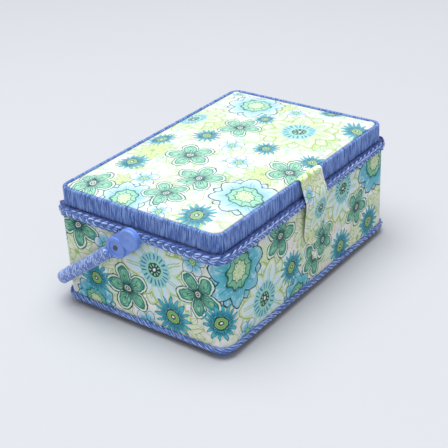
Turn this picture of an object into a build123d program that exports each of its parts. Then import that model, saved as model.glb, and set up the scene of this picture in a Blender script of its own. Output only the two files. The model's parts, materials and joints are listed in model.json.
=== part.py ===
from build123d import *
import math
import os

# A fabric-covered sewing box: a cord-trimmed base with four feet, a padded hinged lid with a
# closing strap, a cord-wrapped bail handle, and two lift-out plastic trays inside.
# Millimetres, +Z up, X along the length, the strap on the front (-Y).

# ---- driving dimensions -------------------------------------------------------------------
BODY_LENGTH = 285.0  # base, outside its fabric
BODY_WIDTH = 191.0
BODY_CORNER = 13.5
BASE_TOP = 104.6
FOOT_HEIGHT = 6.0
FABRIC = 1.0  # printed cover
BOARD = 4.0  # base walls and bottom
LINING = 1.2
CLOTH = 0.6  # underside cloth
FLOOR_PAD = 3.0

LID_LENGTH = 280.0  # lid, outside its cord band
LID_WIDTH = 186.0
LID_CORNER = 11.0
LID_BOTTOM = 106.0
BAND_TOP = 123.7
BAND = 1.2  # wound cord layer
LIP = 3.5  # band turned over the lid's top edge
LID_FRAME = 3.6
LID_BOARD = 4.0
LID_SIDE_LINING = 0.8
LID_TOP = 128.5
POCKET = 2.7

UPPER_TRIM = (96.0, 104.5)  # low and high edge
LOWER_TRIM = (6.3, 12.5)
UPPER_TRIM_PROUD = 3.3
LOWER_TRIM_PROUD = 3.2

FOOT_RADIUS = 8.0
FOOT_INSET = 12.5  # foot centre from the fabric faces

TRAY_FLOOR = 56.0
TRAY_HEIGHT = 36.0
TRAY_LENGTH = 133.4
TRAY_WIDTH = 173.8
TRAY_GAP = 0.8
TRAY_WALL = 1.6
LEDGE_DEPTH = 7.0
LEDGE_HEIGHT = 6.0
RUNNING = 0.3  # gap between pieces that move past each other

HINGE_Y = 97.2
HINGE_Z = 107.0
HINGE_OFFSET = 80.0  # hinge centre from the middle of the back
HINGE_LENGTH = 40.0
KNUCKLE = 2.2
PIN = 0.9
PIN_FIT = 0.05
LEAF = 1.0

PIVOT_Z = 98.8
PIVOT_SHANK = 2.5
PLATE_INNER = 3.6  # distances outward from the base's end face
PLATE_OUTER = 6.6
HUB_OUTER = 8.2
CAP_OUTER = 9.4
PLATE_RADIUS = 11.0
RIVET_REACH = 22.0
ARM_PLANE = 8.2
ARM_HALF_WIDTH = 6.5
ARM_HALF_DEPTH = 4.5
CORE_HALF_WIDTH = 4.4
CORE_HALF_DEPTH = 2.4
HANDLE_REACH = 127.0  # pivot to the middle of the crossbar
HANDLE_BEND = 20.0
HANDLE_DROP = 36.5  # degrees below level when it lies against the back

STRAP_WIDTH = 36.0
STRAP_THICK = 3.0
STRAP_TIP = 53.0
STRAP_AXIS_Y = -94.6
STRAP_AXIS_Z = 125.0
STRAP_KNUCKLE = 1.3
STRAP_STAND_OFF = -99.4  # inner face where it passes the upper trim
CLOSURE_Z = 64.0

# ---- derived places -----------------------------------------------------------------------
END_FACE = BODY_LENGTH / 2
SIDE_FACE = BODY_WIDTH / 2
BOARD_LOW = FOOT_HEIGHT + CLOTH
BOARD_HIGH = BOARD_LOW + BOARD
PAD_TOP = BOARD_HIGH + FLOOR_PAD
WALL_TOP = BASE_TOP - FABRIC
BAND_INNER_TOP = BAND_TOP - BAND
LID_BOARD_LOW = BAND_INNER_TOP - LID_BOARD
CEILING = LID_BOARD_LOW - LINING
INNER_HALF_LENGTH = END_FACE - FABRIC - BOARD - LINING
INNER_HALF_WIDTH = SIDE_FACE - FABRIC - BOARD - LINING
ARM_X = END_FACE + ARM_PLANE

# The strap stands out in front and the handle behind, by different amounts, so the whole
# model is moved to put its origin under the middle of its box.
drop = math.radians(HANDLE_DROP)
crossbar_half_extent = math.hypot(
    ARM_HALF_WIDTH * math.sin(drop), ARM_HALF_DEPTH * math.cos(drop)
)
back_reach = HANDLE_REACH * math.cos(drop) + crossbar_half_extent
front_reach = STRAP_THICK - STRAP_STAND_OFF
ORIGIN_SHIFT = Pos(0, (front_reach - back_reach) / 2, 0)


# ---- shape helpers ------------------------------------------------------------------------
def slab(length, width, corner, low, high):
    outline = RectangleRounded(length, width, corner)
    return extrude(Pos(0, 0, low) * outline, amount=high - low)


def ring(length, width, corner, thickness, low, high):
    hole = slab(length - 2 * thickness, width - 2 * thickness, corner - thickness, low, high)
    return slab(length, width, corner, low, high) - hole


def block(x_range, y_range, z_range):
    spans = [high - low for low, high in (x_range, y_range, z_range)]
    middle = [(low + high) / 2 for low, high in (x_range, y_range, z_range)]
    return Pos(*middle) * Box(*spans)


def rod_x(radius, x_range, y, z):
    low, high = x_range
    return Pos((low + high) / 2, y, z) * Rot(0, 90, 0) * Cylinder(radius, high - low)


def rod_y(radius, x, y_range, z):
    low, high = y_range
    return Pos(x, (low + high) / 2, z) * Rot(90, 0, 0) * Cylinder(radius, high - low)


def rod_z(radius, x, y, z_range):
    low, high = z_range
    return Pos(x, y, (low + high) / 2) * Cylinder(radius, high - low)


def mirrored(shape):
    return mirror(shape, about=Plane.YZ)


def both_ends(shape):
    return shape + mirrored(shape)


def group(solids):
    return Compound([solid for shape in solids for solid in shape.solids()])


def outline_of_base(inset):
    return BODY_LENGTH - 2 * inset, BODY_WIDTH - 2 * inset, BODY_CORNER - inset


def outline_of_lid(inset):
    return LID_LENGTH - 2 * inset, LID_WIDTH - 2 * inset, LID_CORNER - inset


# ---- base ---------------------------------------------------------------------------------
FOOT_CENTRES = [
    (side * (END_FACE - FOOT_INSET), face * (SIDE_FACE - FOOT_INSET))
    for face in (-1, 1)
    for side in (-1, 1)
]
SCREW_SHANK = 1.5
SCREW_HEAD = 3.2
SCREW_HEAD_RANGE = (1.6, 3.2)
SCREW_TIP = BOARD_HIGH - 0.4
PIVOT_HOLE = PIVOT_SHANK + 0.05
SPACER_RADIUS = 4.6


def pivot_holes(radius, inner, outer):
    hole = rod_x(radius, (END_FACE - inner, END_FACE + outer), 0, PIVOT_Z)
    return both_ends(hole)


def foot_screw_holes(high):
    return group([rod_z(SCREW_SHANK, x, y, (0, high)) for x, y in FOOT_CENTRES])


def base_board():
    board = slab(*outline_of_base(FABRIC + BOARD), BOARD_LOW, BOARD_HIGH)
    return board - foot_screw_holes(SCREW_TIP)


def leaf_screw_holes():
    depth = (WALL_TOP - LEAF_SCREW_DEPTH, BASE_TOP)
    return group([rod_z(LEAF_SCREW, x, LEAF_SCREW_Y, depth) for x in LEAF_SCREW_X])


def base_wall():
    wall = ring(*outline_of_base(FABRIC), BOARD, BOARD_LOW, WALL_TOP)
    keeper_seat = rod_y(KEEPER_RADIUS, 0, KEEPER_RANGE, CLOSURE_Z)
    return wall - pivot_holes(PIVOT_HOLE, 8, 1) - keeper_seat - leaf_screw_holes()


def base_cover():
    sides = ring(*outline_of_base(0), FABRIC, FOOT_HEIGHT, BASE_TOP)
    turned_in = ring(*outline_of_base(FABRIC), BOARD, WALL_TOP, BASE_TOP)
    return sides + turned_in - pivot_holes(PIVOT_HOLE, 8, 1) - leaf_screw_holes()


def base_lining():
    sides = ring(*outline_of_base(FABRIC + BOARD), LINING, BOARD_HIGH, BASE_TOP)
    return sides - pivot_holes(PIVOT_HOLE, 8, 1)


def floor_pad():
    pad = slab(*outline_of_base(FABRIC + BOARD + LINING), BOARD_HIGH, PAD_TOP)
    return fillet(pad.edges().group_by(Axis.Z)[-1], 1.2)


def underside_cloth():
    cloth = slab(*outline_of_base(FABRIC), FOOT_HEIGHT, BOARD_LOW)
    return cloth - foot_screw_holes(BOARD_LOW)


def trim(heights, proud, rounding):
    length, width, corner = outline_of_base(-proud)
    whole = ring(length, width, corner, proud, *heights)
    outer = slab(length, width, corner, *heights)
    rims = outer.edges().group_by(Axis.Z)
    rounded = fillet(rims[0] + rims[-1], rounding)
    return whole & rounded


def upper_trim():
    cord = trim(UPPER_TRIM, UPPER_TRIM_PROUD, 2.4)
    return cord - pivot_holes(SPACER_RADIUS, 0, PLATE_INNER)


def foot(x, y):
    body = rod_z(FOOT_RADIUS, x, y, (0, FOOT_HEIGHT))
    rims = body.edges().group_by(Axis.Z)
    body = fillet(rims[0], 2.0)
    recess = rod_z(SCREW_HEAD + 0.3, x, y, (0, SCREW_HEAD_RANGE[1]))
    shank = rod_z(SCREW_SHANK, x, y, (0, FOOT_HEIGHT))
    return body - recess - shank


def foot_screw(x, y):
    head = rod_z(SCREW_HEAD, x, y, SCREW_HEAD_RANGE)
    shank = rod_z(SCREW_SHANK, x, y, (SCREW_HEAD_RANGE[1], SCREW_TIP))
    slot = block((x - 0.4, x + 0.4), (y - 2.4, y + 2.4), (1.6, 2.2))
    return head + shank - slot


def tray_ledge(side):
    edge = INNER_HALF_WIDTH
    spans = sorted((side * (edge - LEDGE_DEPTH), side * edge))
    top = TRAY_FLOOR - RUNNING
    reach = INNER_HALF_LENGTH - BODY_CORNER
    return block((-reach, reach), spans, (top - LEDGE_HEIGHT, top))


# ---- magnetic closure ---------------------------------------------------------------------
KEEPER_RADIUS = 7.0
KEEPER_RANGE = (-SIDE_FACE + FABRIC, -SIDE_FACE + FABRIC + 1.2)
MAGNET_RADIUS = 5.0
MAGNET_RANGE = (-97.8, -96.0)


def closure_keeper():
    return rod_y(KEEPER_RADIUS, 0, KEEPER_RANGE, CLOSURE_Z)


def strap_magnet():
    return rod_y(MAGNET_RADIUS, 0, MAGNET_RANGE, CLOSURE_Z)


# ---- lid hinges ---------------------------------------------------------------------------
LEAF_SCREW = 1.1
LEAF_SCREW_DEPTH = 8.0
LEAF_SCREW_HEAD = 2.0
LEAF_SCREW_HEAD_DEPTH = 0.6
LEAF_SCREW_Y = 92.5
LEAF_SCREW_SPREAD = 13.0
LEAF_SCREW_X = [
    side * HINGE_OFFSET + spread
    for side in (-1, 1)
    for spread in (-LEAF_SCREW_SPREAD, LEAF_SCREW_SPREAD)
]
LID_BACK = LID_WIDTH / 2
LID_LEAF_TOP = 119.5
LID_SCREW_Z = 114.0
KNUCKLE_SHARE = 0.28  # each of the base leaf's two knuckles, of the hinge's length


def knuckle(x_low, x_high):
    return rod_x(KNUCKLE, (x_low, x_high), HINGE_Y, HINGE_Z)


def pin_bore(centre):
    reach = HINGE_LENGTH / 2 + 1
    return rod_x(PIN + PIN_FIT, (centre - reach, centre + reach), HINGE_Y, HINGE_Z)


def hinge_base_leaf(centre):
    low, high = centre - HINGE_LENGTH / 2, centre + HINGE_LENGTH / 2
    share = HINGE_LENGTH * KNUCKLE_SHARE
    plate = block((low, high), (87.5, HINGE_Y), (BASE_TOP, BASE_TOP + LEAF))
    window = block((low + share, high - share), (94.4, HINGE_Y), (BASE_TOP, BASE_TOP + LEAF))
    leaf = plate - window + knuckle(low, low + share) + knuckle(high - share, high)
    for spread in (-LEAF_SCREW_SPREAD, LEAF_SCREW_SPREAD):
        x = centre + spread
        seat_low = BASE_TOP + LEAF - LEAF_SCREW_HEAD_DEPTH
        leaf -= rod_z(LEAF_SCREW, x, LEAF_SCREW_Y, (BASE_TOP, BASE_TOP + LEAF))
        leaf -= rod_z(LEAF_SCREW_HEAD, x, LEAF_SCREW_Y, (seat_low, BASE_TOP + LEAF))
    return leaf - pin_bore(centre)


def hinge_lid_leaf(centre):
    low, high = centre - HINGE_LENGTH / 2, centre + HINGE_LENGTH / 2
    share = HINGE_LENGTH * KNUCKLE_SHARE + RUNNING
    plate = block((low, high), (LID_BACK, LID_BACK + LEAF), (LID_BOTTOM + 1.4, LID_LEAF_TOP))
    web = block((low + share, high - share), (LID_BACK, HINGE_Y), (106.6, 107.6))
    leaf = plate + web + knuckle(low + share, high - share)
    for spread in (-LEAF_SCREW_SPREAD, LEAF_SCREW_SPREAD):
        x = centre + spread
        leaf -= rod_y(LEAF_SCREW, x, (LID_BACK, LID_BACK + LEAF), LID_SCREW_Z)
        seat = (LID_BACK + LEAF - LEAF_SCREW_HEAD_DEPTH, LID_BACK + LEAF)
        leaf -= rod_y(LEAF_SCREW_HEAD, x, seat, LID_SCREW_Z)
    return leaf - pin_bore(centre)


def hinge_pin(centre):
    reach = HINGE_LENGTH / 2
    return rod_x(PIN, (centre - reach, centre + reach), HINGE_Y, HINGE_Z)


def base_hinge_screws():
    face = BASE_TOP + LEAF
    screws = []
    for x in LEAF_SCREW_X:
        head = rod_z(LEAF_SCREW_HEAD, x, LEAF_SCREW_Y, (face - LEAF_SCREW_HEAD_DEPTH, face))
        shank_span = (WALL_TOP - LEAF_SCREW_DEPTH, face - LEAF_SCREW_HEAD_DEPTH)
        shank = rod_z(LEAF_SCREW, x, LEAF_SCREW_Y, shank_span)
        screws.append(head + shank)
    return group(screws)


def lid_hinge_screws():
    face = LID_BACK + LEAF
    screws = []
    for x in LEAF_SCREW_X:
        head = rod_y(LEAF_SCREW_HEAD, x, (face - LEAF_SCREW_HEAD_DEPTH, face), LID_SCREW_Z)
        shank = rod_y(LEAF_SCREW, x, LID_SCREW_SPAN, LID_SCREW_Z)
        screws.append(head + shank)
    return group(screws)


# ---- lid ----------------------------------------------------------------------------------
LID_SCREW_SPAN = (LID_BACK - BAND - LID_FRAME + 0.4, LID_BACK + LEAF - LEAF_SCREW_HEAD_DEPTH)
LID_FRAME_LOW = LID_BOTTOM + BAND


def lid_screw_holes():
    return group([rod_y(LEAF_SCREW, x, LID_SCREW_SPAN, LID_SCREW_Z) for x in LEAF_SCREW_X])


def lid_frame():
    frame = ring(*outline_of_lid(BAND), LID_FRAME, LID_FRAME_LOW, BAND_INNER_TOP)
    return frame - lid_screw_holes()


def lid_board():
    return slab(*outline_of_lid(BAND + LID_FRAME), LID_BOARD_LOW, BAND_INNER_TOP)


def lid_band():
    side = ring(*outline_of_lid(0), BAND, LID_BOTTOM, BAND_TOP)
    under = ring(*outline_of_lid(BAND), LID_FRAME, LID_BOTTOM, LID_FRAME_LOW)
    over = ring(*outline_of_lid(BAND), LIP - BAND, BAND_INNER_TOP, BAND_TOP)
    return side + under + over - lid_screw_holes()


def padded_block(inset, top, rounding):
    pad = slab(*outline_of_lid(inset), BAND_INNER_TOP, top)
    return fillet(pad.edges().group_by(Axis.Z)[-1], rounding)


def lid_foam():
    return padded_block(LIP + FABRIC, LID_TOP - FABRIC, 3.2)


def lid_cover():
    return padded_block(LIP, LID_TOP, 4.0) - lid_foam()


def lid_lining():
    inset = BAND + LID_FRAME
    ceiling = slab(*outline_of_lid(inset), CEILING, LID_BOARD_LOW)
    sides = ring(*outline_of_lid(inset), LID_SIDE_LINING, LID_FRAME_LOW, CEILING)
    return ceiling + sides


POCKET_HALF_LENGTH = 100.0
POCKET_FRONT = -40.0
POCKET_BACK = 78.0


def lid_pocket():
    pouch = block(
        (-POCKET_HALF_LENGTH, POCKET_HALF_LENGTH),
        (POCKET_FRONT, POCKET_BACK),
        (CEILING - POCKET, CEILING),
    )
    return fillet(pouch.edges().group_by(Axis.Z)[0], 1.2)


def pocket_elastic():
    return block(
        (-POCKET_HALF_LENGTH, POCKET_HALF_LENGTH),
        (POCKET_FRONT - 5, POCKET_FRONT),
        (CEILING - POCKET - 0.6, CEILING),
    )


# ---- strap --------------------------------------------------------------------------------
def strap_root():
    half = STRAP_WIDTH / 2
    front = STRAP_AXIS_Y + STRAP_KNUCKLE + RUNNING
    back = -LID_WIDTH / 2 + LIP
    return block((-half, half), (front, back), (BAND_TOP, BAND_TOP + 2.5))


def strap():
    # Section in the YZ plane: down the lid's band, out over the upper trim, then in to the base.
    inner = [
        (-93.6, 124.6),
        (-94.5, 120.0),
        (STRAP_STAND_OFF, 106.0),
        (STRAP_STAND_OFF, 96.0),
        (-97.9, 80.0),
        (-96.4, 70.0),
        (-96.1, STRAP_TIP),
    ]
    outer = [(y - STRAP_THICK, z) for y, z in inner[1:]]
    outer.insert(0, (inner[0][0] - 2 * STRAP_KNUCKLE, inner[0][1]))
    section = Plane.YZ * make_face(Polyline(*inner, *reversed(outer), close=True))
    half = STRAP_WIDTH / 2
    sides = extrude(section, amount=half, both=True)
    roll = rod_x(STRAP_KNUCKLE, (-half, half), STRAP_AXIS_Y, STRAP_AXIS_Z)
    end_centre = STRAP_TIP + half
    tab = rod_y(half, 0, (-110, -80), end_centre)
    tab += block((-half, half), (-110, -80), (end_centre, STRAP_AXIS_Z + 5))
    return ((sides + roll) & tab) - strap_magnet()


# ---- handle, drawn level with its arms along +Y, then dropped to where it rests -------------
WRAP_START = RIVET_REACH + PLATE_RADIUS
TAB_RANGE = (4.9, 6.7)
TAB_HALF_WIDTH = 5.0
TAB_START = 15.0
HEAD_RADIUS = 5.0
HANDLE_RIVET = 1.5
HANDLE_RIVET_HEAD = 2.4
HUB_DISH = 0.8


def at_rest(shape):
    return Pos(0, 0, PIVOT_Z) * Rot(-HANDLE_DROP, 0, 0) * shape


def bail(start, half_depth, half_width):
    path = FilletPolyline(
        (-ARM_X, start, 0),
        (-ARM_X, HANDLE_REACH, 0),
        (ARM_X, HANDLE_REACH, 0),
        (ARM_X, start, 0),
        radius=HANDLE_BEND,
    )
    mouth = Plane(origin=(-ARM_X, start, 0), x_dir=(1, 0, 0), z_dir=(0, 1, 0))
    return sweep(mouth * Ellipse(half_depth, half_width), path=path)


def outward(span):
    return END_FACE + span[0], END_FACE + span[1]


def core_tab():
    length = (TAB_START, WRAP_START + 6)
    return block(outward(TAB_RANGE), length, (-TAB_HALF_WIDTH, TAB_HALF_WIDTH))


def rivet_bore():
    return rod_x(HANDLE_RIVET, outward((0, 20)), RIVET_REACH, 0)


def handle_core():
    tab = core_tab() - rivet_bore()
    whole = bail(WRAP_START, CORE_HALF_DEPTH, CORE_HALF_WIDTH) + both_ends(tab)
    return at_rest(whole)


def handle_wrap():
    outside = bail(WRAP_START, ARM_HALF_DEPTH, ARM_HALF_WIDTH)
    inside = bail(WRAP_START, CORE_HALF_DEPTH, CORE_HALF_WIDTH)
    return at_rest(outside - inside - both_ends(core_tab()))


def handle_end():
    thin = outward((PLATE_INNER, PLATE_OUTER))
    plate = rod_x(PLATE_RADIUS, thin, 0, 0)
    plate += block(thin, (0, RIVET_REACH), (-PLATE_RADIUS, PLATE_RADIUS))
    hub = rod_x(PLATE_RADIUS, outward((PLATE_INNER, HUB_OUTER)), RIVET_REACH, 0)
    hub = fillet(hub.edges().group_by(Axis.X)[-1], 1.2)
    dish = rod_x(7.2, outward((HUB_OUTER - HUB_DISH, HUB_OUTER)), RIVET_REACH, 0)
    seat = rod_x(HEAD_RADIUS + 0.4, outward((PLATE_OUTER - 1.2, PLATE_OUTER)), 0, 0)
    bore = rod_x(PIVOT_HOLE, thin, 0, 0)
    return plate + hub - dish - seat - bore - core_tab() - rivet_bore()


def handle_rivet():
    shank = rod_x(HANDLE_RIVET, outward((PLATE_INNER, HUB_OUTER - HUB_DISH)), RIVET_REACH, 0)
    face = HUB_OUTER - HUB_DISH
    head = rod_x(HANDLE_RIVET_HEAD, outward((face, face + 1.0)), RIVET_REACH, 0)
    return shank + fillet(head.edges().group_by(Axis.X)[-1], 0.6)


def pivot_cap():
    cap = rod_x(PLATE_RADIUS - 0.3, outward((PLATE_OUTER, CAP_OUTER)), 0, 0)
    cap = fillet(cap.edges().group_by(Axis.X)[-1], 1.6)
    dish = Pos(END_FACE + CAP_OUTER + 59.4, 0, 0) * Sphere(60.0)
    dimple = Pos(END_FACE + CAP_OUTER + 0.2, 0, 0) * Sphere(1.5)
    return cap - dish - dimple


def pivot_rivet():
    inner_face = -(FABRIC + BOARD + LINING + 0.5)
    shank = rod_x(PIVOT_SHANK, outward((inner_face, PLATE_OUTER - 1.1)), 0, PIVOT_Z)
    tail = rod_x(HEAD_RADIUS, outward((inner_face - 1.1, inner_face)), 0, PIVOT_Z)
    head = rod_x(HEAD_RADIUS, outward((PLATE_OUTER - 1.1, PLATE_OUTER - 0.2)), 0, PIVOT_Z)
    return shank + tail + head


def pivot_washer():
    inner_face = -(FABRIC + BOARD + LINING)
    disc = rod_x(6.5, outward((inner_face - 0.5, inner_face)), 0, PIVOT_Z)
    return disc - pivot_holes(PIVOT_HOLE, 10, 0)


def pivot_spacer():
    tube = rod_x(SPACER_RADIUS, outward((0, PLATE_INNER - 0.1)), 0, PIVOT_Z)
    return tube - pivot_holes(PIVOT_HOLE, 1, PLATE_INNER)


# ---- trays --------------------------------------------------------------------------------
TRAY_TOP = TRAY_FLOOR + TRAY_HEIGHT
TRAY_RIM = 1.0
DIVIDER_DROP = 5.0


def tray(cells):
    """One tray about x = y = 0. Each cell is x low, x high, y low, y high, as shares of the inside."""
    body_length = TRAY_LENGTH - 2 * TRAY_RIM
    body_width = TRAY_WIDTH - 2 * TRAY_RIM
    shell = slab(body_length, body_width, 5.0, TRAY_FLOOR, TRAY_TOP)
    shell += slab(TRAY_LENGTH, TRAY_WIDTH, 6.0, TRAY_TOP - 2.2, TRAY_TOP)
    room_length = body_length - 2 * TRAY_WALL
    room_width = body_width - 2 * TRAY_WALL
    floor = TRAY_FLOOR + TRAY_WALL
    for x_low, x_high, y_low, y_high in cells:
        length = (x_high - x_low) * room_length - (TRAY_WALL if x_high - x_low < 1 else 0)
        width = (y_high - y_low) * room_width - (TRAY_WALL if y_high - y_low < 1 else 0)
        cell = slab(length, width, 3.4, floor, TRAY_TOP)
        cell = fillet(cell.edges().group_by(Axis.Z)[0], 2.4)
        x = cell_centre(x_low, x_high, room_length)
        y = cell_centre(y_low, y_high, room_width)
        shell -= Pos(x, y, 0) * cell
    shell -= slab(room_length, room_width, 3.4, TRAY_TOP - DIVIDER_DROP, TRAY_TOP)
    scoop = rod_y(13.0, 0, (-TRAY_WIDTH, TRAY_WIDTH), TRAY_TOP + 5.0)
    return shell - scoop


def cell_centre(low, high, room):
    """Middle of a cell that keeps half a divider on each side that isn't an outer wall."""
    start = low * room - room / 2 + (TRAY_WALL / 2 if low > 0 else 0)
    end = high * room - room / 2 - (TRAY_WALL / 2 if high < 1 else 0)
    return (start + end) / 2


FOUR_EQUAL = [(a, a + 0.5, b, b + 0.5) for a in (0, 0.5) for b in (0, 0.5)]
ONE_LONG_TWO_SMALL = [(0, 1, 0.5, 1), (0, 0.5, 0, 0.5), (0.5, 1, 0, 0.5)]
TRAY_CENTRE = (TRAY_LENGTH + TRAY_GAP) / 2


# ---- all nodes ----------------------------------------------------------------------------
def make_nodes():
    nodes = {
        "base_board": base_board(),
        "base_wall": base_wall(),
        "base_cover": base_cover(),
        "base_lining": base_lining(),
        "floor_pad": floor_pad(),
        "underside_cloth": underside_cloth(),
        "upper_trim": upper_trim(),
        "lower_trim": trim(LOWER_TRIM, LOWER_TRIM_PROUD, 2.4),
        "foot_screws": group([foot_screw(x, y) for x, y in FOOT_CENTRES]),
        "front_tray_ledge": tray_ledge(-1),
        "back_tray_ledge": tray_ledge(1),
        "closure_keeper": closure_keeper(),
        "base_hinge_screws": base_hinge_screws(),
        "lid_frame": lid_frame(),
        "lid_board": lid_board(),
        "lid_foam": lid_foam(),
        "lid_cover": lid_cover(),
        "lid_band": lid_band(),
        "lid_lining": lid_lining(),
        "lid_pocket": lid_pocket(),
        "pocket_elastic": pocket_elastic(),
        "lid_hinge_screws": lid_hinge_screws(),
        "strap_root": strap_root(),
        "strap": strap(),
        "strap_magnet": strap_magnet(),
        "handle_core": handle_core(),
        "handle_wrap": handle_wrap(),
        "left_tray": Pos(-TRAY_CENTRE, 0, 0) * tray(FOUR_EQUAL),
        "right_tray": Pos(TRAY_CENTRE, 0, 0) * tray(ONE_LONG_TWO_SMALL),
    }
    foot_names = ("front_left", "front_right", "back_left", "back_right")
    for name, centre in zip(foot_names, FOOT_CENTRES):
        nodes[f"{name}_foot"] = foot(*centre)
    for name, side in (("left", -1), ("right", 1)):
        centre = side * HINGE_OFFSET
        nodes[f"{name}_hinge_base_leaf"] = hinge_base_leaf(centre)
        nodes[f"{name}_hinge_lid_leaf"] = hinge_lid_leaf(centre)
        nodes[f"{name}_hinge_pin"] = hinge_pin(centre)
    right_pieces = {
        "pivot_rivet": pivot_rivet(),
        "pivot_washer": pivot_washer(),
        "pivot_spacer": pivot_spacer(),
        "handle_end": at_rest(handle_end()),
        "handle_rivet": at_rest(handle_rivet()),
        "pivot_cap": at_rest(pivot_cap()),
    }
    for name, piece in right_pieces.items():
        nodes[f"right_{name}"] = piece
        nodes[f"left_{name}"] = mirrored(piece)
    return nodes


os.makedirs("parts", exist_ok=True)
for node_name, shape in make_nodes().items():
    export_step(ORIGIN_SHIFT * shape, f"parts/{node_name}.step")
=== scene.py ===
import json
import math
from functools import partialmethod

import bpy
import numpy as np
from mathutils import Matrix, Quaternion, Vector


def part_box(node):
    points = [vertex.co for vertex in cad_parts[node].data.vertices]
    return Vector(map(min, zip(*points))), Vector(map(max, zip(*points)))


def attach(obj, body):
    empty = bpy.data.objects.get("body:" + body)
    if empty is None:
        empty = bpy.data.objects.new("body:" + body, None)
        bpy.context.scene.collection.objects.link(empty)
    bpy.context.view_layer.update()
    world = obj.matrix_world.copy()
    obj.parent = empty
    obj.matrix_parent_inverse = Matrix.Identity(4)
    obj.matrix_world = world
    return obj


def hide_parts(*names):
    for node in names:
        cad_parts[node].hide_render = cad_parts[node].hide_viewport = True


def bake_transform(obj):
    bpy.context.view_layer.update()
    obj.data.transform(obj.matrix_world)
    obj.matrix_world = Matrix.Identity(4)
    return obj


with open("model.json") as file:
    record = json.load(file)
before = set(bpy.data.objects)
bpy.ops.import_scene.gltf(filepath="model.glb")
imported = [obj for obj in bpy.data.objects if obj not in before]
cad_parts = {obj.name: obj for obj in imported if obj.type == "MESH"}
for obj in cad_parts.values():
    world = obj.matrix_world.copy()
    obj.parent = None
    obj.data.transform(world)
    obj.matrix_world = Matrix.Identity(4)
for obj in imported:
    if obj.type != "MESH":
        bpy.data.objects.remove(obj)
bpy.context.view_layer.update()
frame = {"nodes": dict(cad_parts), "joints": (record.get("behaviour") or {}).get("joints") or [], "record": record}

# A fabric-covered sewing box. Lengths below are millimetres unless a name ends in _M, and
# heights are measured from the surface that the box stands on.
MM = 0.001
rng = np.random.default_rng(7)


# ---- places read from the frame ----
def node_box(node):
    """A CAD node's lowest and highest corners, in millimetres."""
    low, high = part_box(node)
    return np.array(low) / MM, np.array(high) / MM


def joint_place(name):
    """Where a joint's axis passes, in metres."""
    return next(j for j in frame["joints"] if j["name"] == name)["pos_m"]


def halves(low, high):
    """Half the size of a box, and its middle, along x and y."""
    return (high[:2] - low[:2]) / 2, (high[:2] + low[:2]) / 2


cover_low, cover_high = node_box("base_cover")
band_low, band_high = node_box("lid_band")
CENTRE_Y = (cover_low[1] + cover_high[1]) / 2
BASE_CORNER = 13.5
LID_CORNER = 11.0
BASE_TOP = cover_high[2]
BAND_LOW, BAND_TOP = band_low[2], band_high[2]


class Track:
    """A rounded rectangle seen from above, walked by the left, the front and the right from the
    middle of the back."""

    def __init__(self, low, high, corner):
        self.radius = corner
        half, self.middle = halves(low, high)
        hx, hy = half - corner
        turn = self.radius * math.pi / 2
        legs = [0, hx, turn, 2 * hy, turn, 2 * hx, turn, 2 * hy, turn, hx]
        self.knots = np.cumsum(legs)
        self.length = self.knots[-1]
        self.angles = np.radians([90, 90, 180, 180, 270, 270, 360, 360, 450, 450])
        self.core_x = [0, -hx, -hx, -hx, -hx, hx, hx, hx, hx, 0]
        self.core_y = [hy, hy, hy, -hy, -hy, -hy, -hy, hy, hy, hy]
        self.front_left = self.knots[3] + turn / 2

    def points(self, along, offset, height):
        """Points at a distance along the track, an offset outside it and a height."""
        along = np.mod(along, self.length)
        angle = np.interp(along, self.knots, self.angles)
        x = np.interp(along, self.knots, self.core_x) + (self.radius + offset) * np.cos(angle)
        y = np.interp(along, self.knots, self.core_y) + (self.radius + offset) * np.sin(angle)
        x, y, height = np.broadcast_arrays(x + self.middle[0], y + self.middle[1], height)
        return np.stack([x, y, height], -1)


base_track = Track(cover_low, cover_high, BASE_CORNER)
lid_track = Track(band_low, band_high, LID_CORNER)


# ---- mesh helpers ----
def mesh_object(name, points, faces, uvs=None):
    mesh = bpy.data.meshes.new(name)
    mesh.from_pydata((np.asarray(points) * MM).tolist(), [], faces)
    mesh.polygons.foreach_set("use_smooth", [True] * len(mesh.polygons))
    if uvs is not None:
        layer = mesh.uv_layers.new(name="UVMap")
        layer.data.foreach_set("uv", (np.asarray(uvs, float) * MM).ravel())
    mesh.update()
    piece = bpy.data.objects.new(name, mesh)
    bpy.context.scene.collection.objects.link(piece)
    return piece


def grid_arrays(points, us, vs, wrap_along=False, wrap_across=False, flip=False):
    """Faces and face-corner UVs of a grid of points, along by across. us and vs are the UVs of its
    lines in millimetres, with one more value where the grid closes on itself."""
    n, m = points.shape[:2]
    rows = n if wrap_along else n - 1
    columns = m if wrap_across else m - 1
    i, j = np.meshgrid(np.arange(rows), np.arange(columns), indexing="ij")
    i, j = i.ravel(), j.ravel()
    order = [(0, 0), (1, 0), (1, 1), (0, 1)]
    if flip:
        order.reverse()
    corners = [((i + a) % n) * m + (j + b) % m for a, b in order]
    us, vs = np.asarray(us, float), np.asarray(vs, float)
    uvs = [np.stack([us[i + a], vs[j + b]], -1) for a, b in order]
    return np.stack(corners, -1), np.stack(uvs, 1).reshape(-1, 2)


def grid_object(name, points, us, vs, **wraps):
    faces, uvs = grid_arrays(points, us, vs, **wraps)
    return mesh_object(name, points.reshape(-1, 3), faces.tolist(), uvs)


def joined_grids(name, parts):
    """Several grids as one mesh. Each part is points, us, vs and a dict of how it wraps."""
    all_points, all_faces, all_uvs, start = [], [], [], 0
    for points, us, vs, wraps in parts:
        faces, uvs = grid_arrays(points, us, vs, **wraps)
        all_points.append(points.reshape(-1, 3))
        all_faces.append(faces + start)
        all_uvs.append(uvs)
        start += len(all_points[-1])
    points, faces, uvs = [np.concatenate(a) for a in (all_points, all_faces, all_uvs)]
    return mesh_object(name, points, faces.tolist(), uvs)


def full_turn(count):
    return np.linspace(0, math.tau, count, endpoint=False)


def unit(vectors):
    return vectors / np.linalg.norm(vectors, axis=1)[:, None]


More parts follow.
